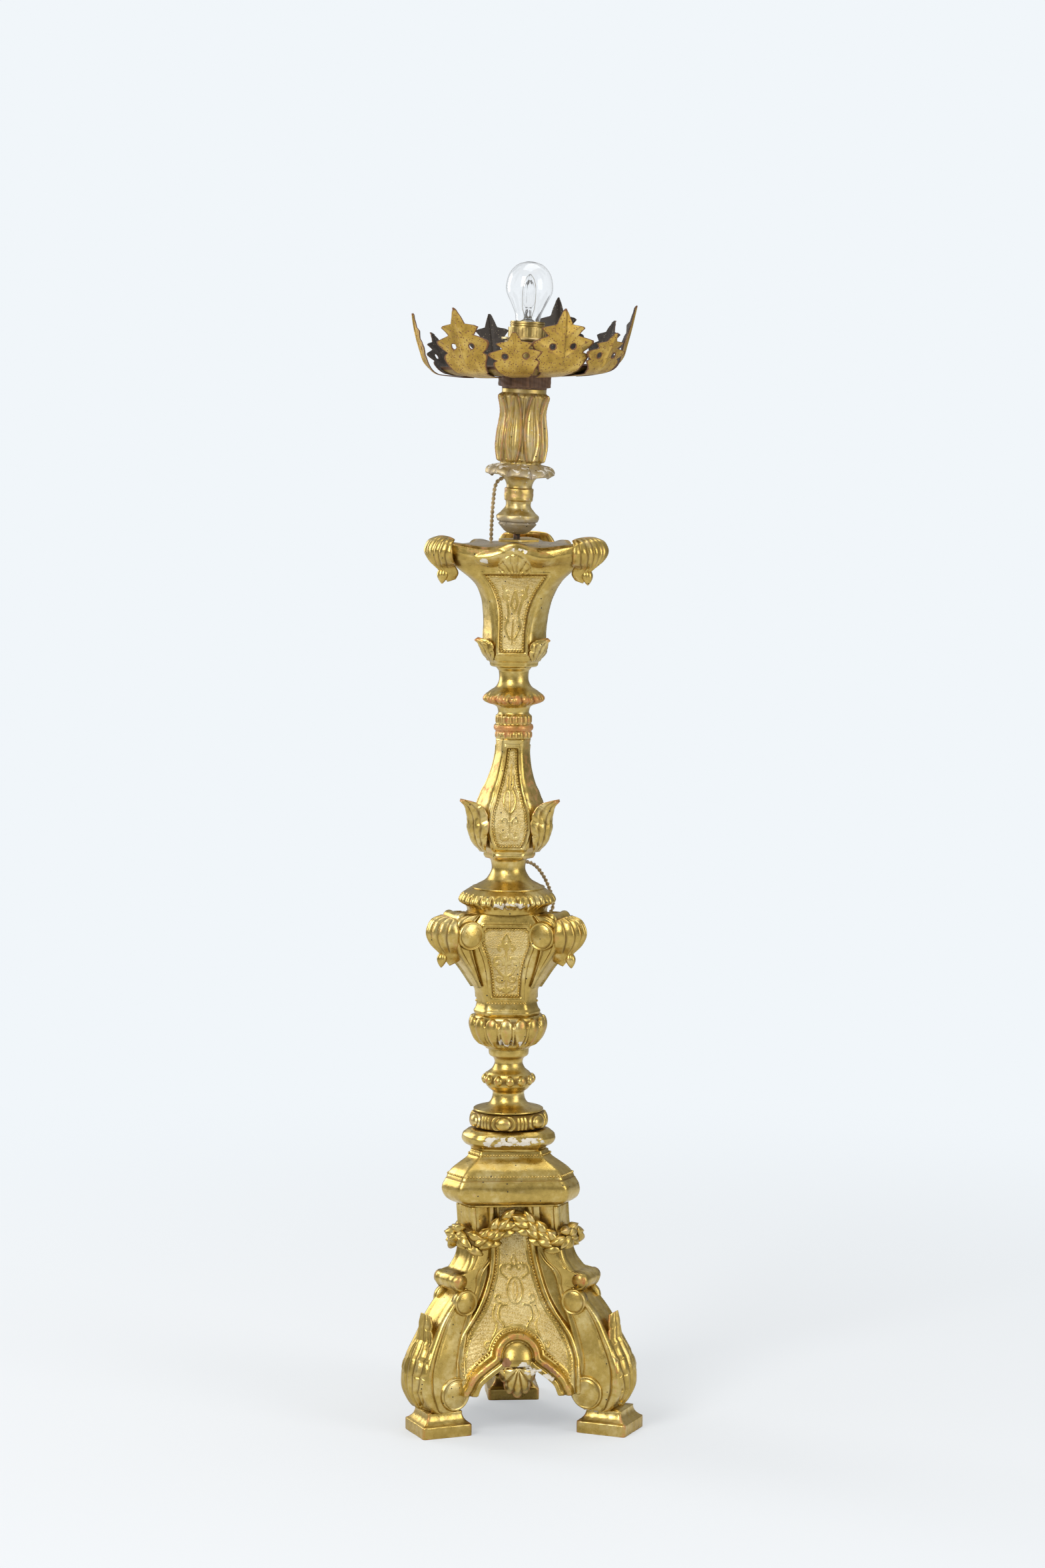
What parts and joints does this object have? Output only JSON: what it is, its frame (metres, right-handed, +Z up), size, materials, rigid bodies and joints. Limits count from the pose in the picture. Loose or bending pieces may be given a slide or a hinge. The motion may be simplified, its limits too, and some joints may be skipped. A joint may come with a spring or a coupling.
{
  "type": "torchere",
  "caption": "Tall carved giltwood torchere with a scrolled triangular base, leafy column and leaf-edged iron drip pan, wired as a lamp with a clear bulb.",
  "frame": {"origin": "on the floor, on the axis of the iron rod that holds the column together", "axes": "+Z up along the rod; +Y away from the viewer of the face shown in the picture; +X to that viewer's right"},
  "size_m": [0.2901, 0.421, 1.3742],
  "materials": {
    "gilt_wood": "carved wood, water-gilt over red bole and gesso, burnished and rubbed",
    "bare_wood": "bare old wood",
    "brown_wood": "brown painted wood, worn",
    "dark_iron": "forged, dark brown",
    "gilt_sheet": "sheet iron, ochre gilding outside, dark and rusty inside",
    "lamp_brass": "lacquered, satin",
    "clear_glass": "clear",
    "bulb_cap_metal": "bright",
    "silk_flex": "twisted gold-brown silk braid",
    "plug_plastic": "dark brown moulded"
  },
  "bodies": {
    "stand": {"plinth_1": "gilt_wood", "plinth_2": "gilt_wood", "plinth_3": "gilt_wood", "leg_1": "gilt_wood", "leg_2": "gilt_wood", "leg_3": "gilt_wood", "leg_leaf_1": "gilt_wood", "leg_leaf_2": "gilt_wood", "leg_leaf_3": "gilt_wood", "base_panel_1": "gilt_wood", "base_panel_2": "gilt_wood", "base_panel_3": "gilt_wood", "panel_shell_1": "gilt_wood", "panel_shell_2": "gilt_wood", "panel_shell_3": "gilt_wood", "garland": "gilt_wood", "base_block": "bare_wood", "base_cornice": "gilt_wood", "base_cap": "gilt_wood", "egg_ring": "gilt_wood", "lower_baluster": "gilt_wood", "gadroon_cup": "gilt_wood", "lower_capital": "gilt_wood", "lower_scroll_1": "gilt_wood", "lower_scroll_2": "gilt_wood", "lower_scroll_3": "gilt_wood", "lower_shells": "gilt_wood", "gadroon_collar": "gilt_wood", "waisted_neck": "gilt_wood", "pear": "gilt_wood", "pear_leaves": "gilt_wood", "upper_baluster": "gilt_wood", "upper_capital": "gilt_wood", "upper_shell_1": "gilt_wood", "upper_shell_2": "gilt_wood", "upper_shell_3": "gilt_wood", "capital_leaves": "gilt_wood", "top_block": "gilt_wood", "tie_rod": "dark_iron", "rod_nut": "dark_iron", "cup_foot": "gilt_wood", "cup_body": "gilt_wood", "cup_skirt": "gilt_wood", "cup_collar": "brown_wood", "drip_pan": "gilt_sheet", "inner_pan_leaves": "gilt_sheet", "outer_pan_leaves": "gilt_sheet", "holder_body": "lamp_brass", "holder_shell": "lamp_brass", "shade_flange": "lamp_brass", "upper_flex": "silk_flex", "bypass_flex": "silk_flex", "tail_flex": "silk_flex", "flex_coil": "silk_flex", "plug": "plug_plastic"},
    "ring_nut": {"ring_nut": "lamp_brass"},
    "bulb": {"bulb_glass": "clear_glass", "bulb_capsule": "clear_glass", "bulb_cap": "bulb_cap_metal"}
  },
  "joints": [
    {"name": "ring_nut_turn", "type": "hinge", "parent": "stand", "child": "ring_nut", "pos_m": [0.01372, 0, 1.29205], "axis": [0.0454, 0, 0.999], "continuous": true},
    {"name": "bulb_turn", "type": "hinge", "parent": "stand", "child": "bulb", "pos_m": [0.01419, 0, 1.30224], "axis": [0.0454, 0, 0.999], "continuous": true}
  ]
}
